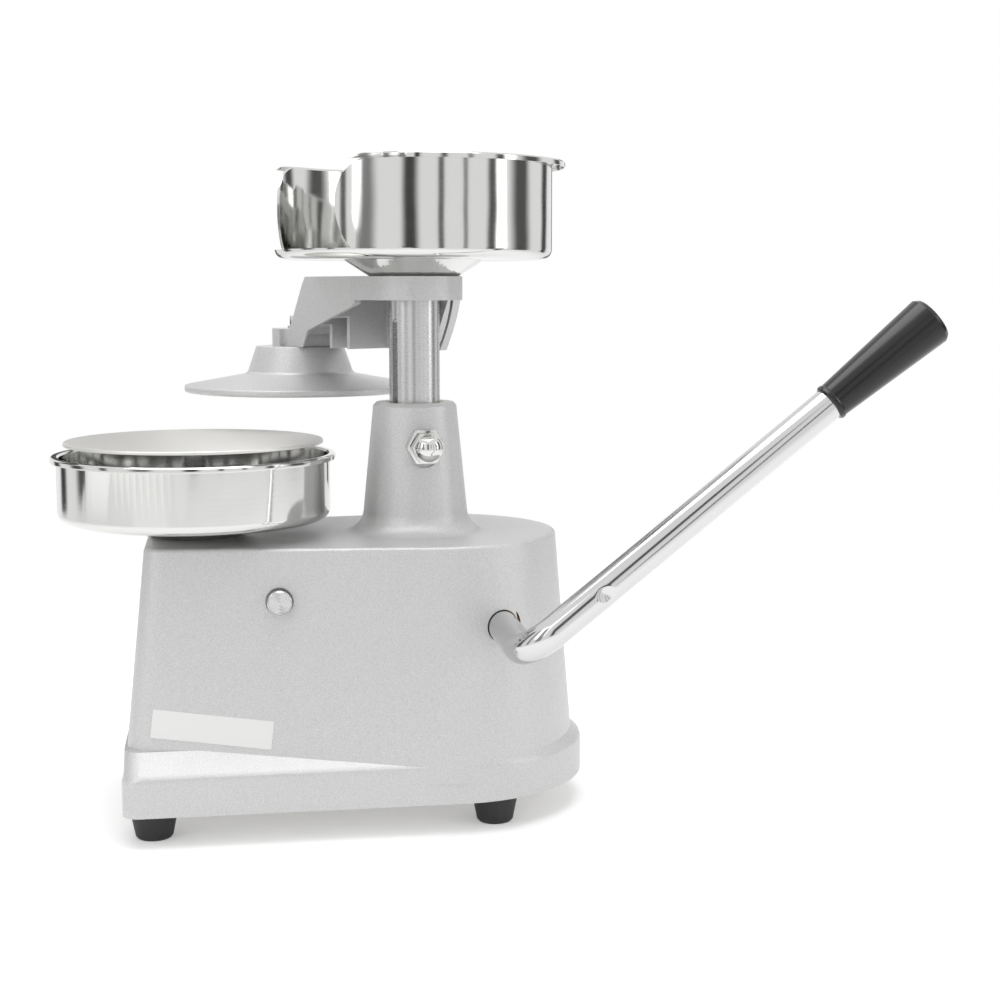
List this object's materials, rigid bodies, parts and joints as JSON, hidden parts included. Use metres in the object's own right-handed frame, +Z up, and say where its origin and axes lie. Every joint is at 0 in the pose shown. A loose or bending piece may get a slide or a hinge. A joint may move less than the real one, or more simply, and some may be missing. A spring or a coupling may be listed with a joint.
{
  "type": "hand-lever hamburger patty press",
  "caption": "Table-top patty press: cast base, mould bowl with lifting plate, swing arm with press plate and paper-disc pan on a sliding column, and a bent hand lever.",
  "frame": {"origin": "middle of the footprint at floor level, the middle of the overall bounding box in plan", "axes": "+Z up; -Y is the front with the mould bowl; +X is the operator's right with the hand lever"},
  "size_m": [0.3484, 0.4806, 0.381],
  "materials": {
    "cast_base": "fine speckled silver finish on cast aluminium",
    "bottom_sheet": "plain zinc-plated sheet",
    "rubber_feet": "matt moulded rubber",
    "plated_screws": "zinc-plated steel",
    "polished_bowl": "polished stainless steel",
    "bronze_bushes": "oiled bronze",
    "chromed_nuts": "bright nickel-chrome plate",
    "turned_pin": "turned and polished steel",
    "chromed_rod": "bright chrome plate",
    "black_grip": "glossy moulded plastic",
    "cast_drive": "plain cast iron",
    "black_screws": "blackened steel",
    "hardened_pins": "ground hardened steel",
    "ground_column": "ground and polished steel",
    "cast_arm": "fine speckled silver finish on cast aluminium",
    "cast_plate": "fine speckled silver finish on turned aluminium",
    "polished_pan": "polished stainless steel",
    "satin_plate": "pale satin stainless steel",
    "bar_stock": "plain bar stock"
  },
  "bodies": {
    "base": {"base_housing": "cast_base", "base_plate": "bottom_sheet", "bowl_screws": "plated_screws", "column_bush_lower": "bronze_bushes", "column_bush_upper": "bronze_bushes", "ejector_bush": "bronze_bushes", "foot_screws": "plated_screws", "guide_bolt": "plated_screws", "guide_cap_nut": "chromed_nuts", "guide_jam_nut": "chromed_nuts", "mould_bowl": "polished_bowl", "rocker_pin": "turned_pin", "rubber_feet": "rubber_feet", "shaft_bush_left": "bronze_bushes", "shaft_bush_right": "bronze_bushes"},
    "lever": {"lever_rod": "chromed_rod", "lever_grip": "black_grip", "crank_fork": "cast_drive", "crank_set_screws": "black_screws", "fork_rollers": "hardened_pins", "crank_pin": "hardened_pins", "shaft_washer": "plated_screws"},
    "lift": {"lift_collar": "hardened_pins"},
    "head": {"column": "ground_column", "column_end_screw": "plated_screws", "press_arm": "cast_arm", "press_plate": "cast_plate", "press_bolt": "chromed_nuts", "press_washer": "chromed_nuts", "paper_dispenser": "polished_pan", "top_screw": "plated_screws"},
    "ejector": {"ejector_plate": "satin_plate", "ejector_stem": "hardened_pins"},
    "rocker": {"rocker": "cast_drive", "rocker_roller": "hardened_pins", "rocker_link_pin": "hardened_pins"},
    "draw_bar": {"draw_bar": "bar_stock"}
  },
  "joints": [
    {"name": "lever", "type": "hinge", "parent": "base", "child": "lever", "pos_m": [0.01436, 0.01394, 0.1174], "axis": [1, 0, 0], "range_deg": [0, 41]},
    {"name": "column_lift", "type": "slide", "parent": "base", "child": "lift", "axis": [0, 0, -1], "range_m": [0, 0.02802]},
    {"name": "arm_swing", "type": "hinge", "parent": "lift", "child": "head", "pos_m": [0.01436, -0.02816, 0.3], "axis": [0, 0, 1], "range_deg": [0, 61]},
    {"name": "ejector_lift", "type": "slide", "parent": "base", "child": "ejector", "axis": [0, 0, -1], "range_m": [0, 0.0423]},
    {"name": "rocker_pivot", "type": "hinge", "parent": "base", "child": "rocker", "pos_m": [0.01436, -0.11176, 0.1345], "axis": [1, 0, 0], "range_deg": [0, 55.81]},
    {"name": "draw_bar_slide", "type": "slide", "parent": "base", "child": "draw_bar", "axis": [0, 1, 0], "range_m": [0, 0.02808]}
  ],
  "couplings": [
    {"joint": "column_lift", "follows": "lever", "m_per_rad": 0.039152},
    {"joint": "ejector_lift", "follows": "lever", "m_per_rad": 0.059112},
    {"joint": "rocker_pivot", "follows": "lever", "ratio": 1.361},
    {"joint": "draw_bar_slide", "follows": "lever", "m_per_rad": 0.039234}
  ]
}
